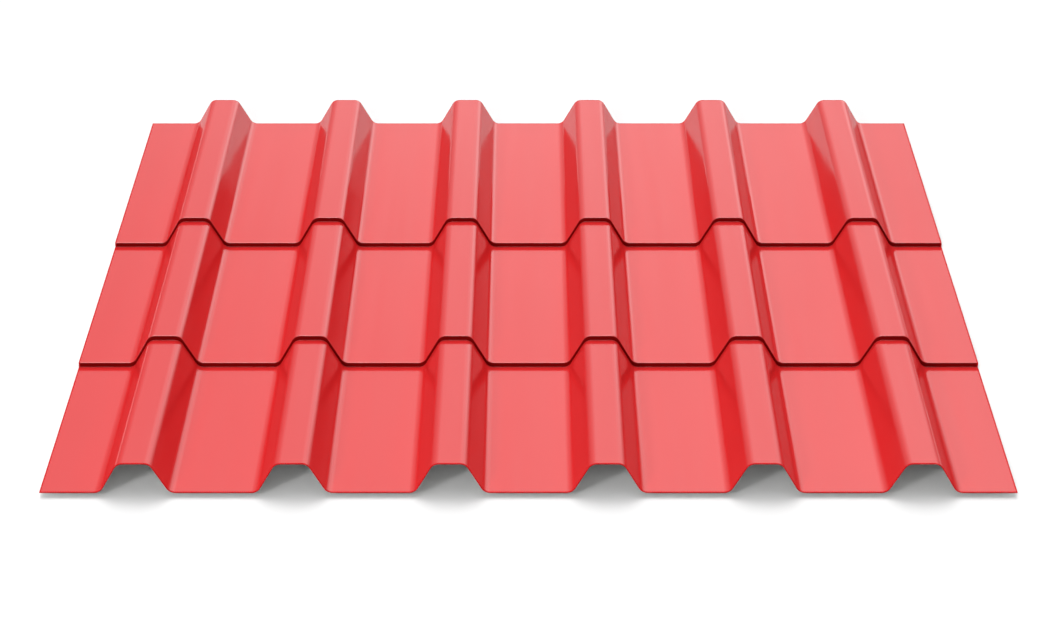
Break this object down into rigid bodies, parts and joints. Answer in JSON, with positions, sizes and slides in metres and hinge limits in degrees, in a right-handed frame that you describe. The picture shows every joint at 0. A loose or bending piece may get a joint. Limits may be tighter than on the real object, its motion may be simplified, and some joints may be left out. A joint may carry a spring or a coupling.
{
  "type": "tile effect metal roofing sheet",
  "caption": "Red coated steel roofing sheet with lengthwise trapezoid ribs and shallow steps pressed across it, so that it looks like courses of tiles.",
  "frame": {"origin": "centre of the sheet's outline, on the floor that it lies on", "axes": "+X across the ribs, +Y up the roof from the eave edge to the head edge, +Z out of the roof's weather face"},
  "size_m": [1.118, 1.1, 0.0445],
  "materials": {
    "red_coat": "gloss"
  },
  "bodies": {
    "root": {"roofing_sheet": "red_coat"}
  },
  "joints": []
}
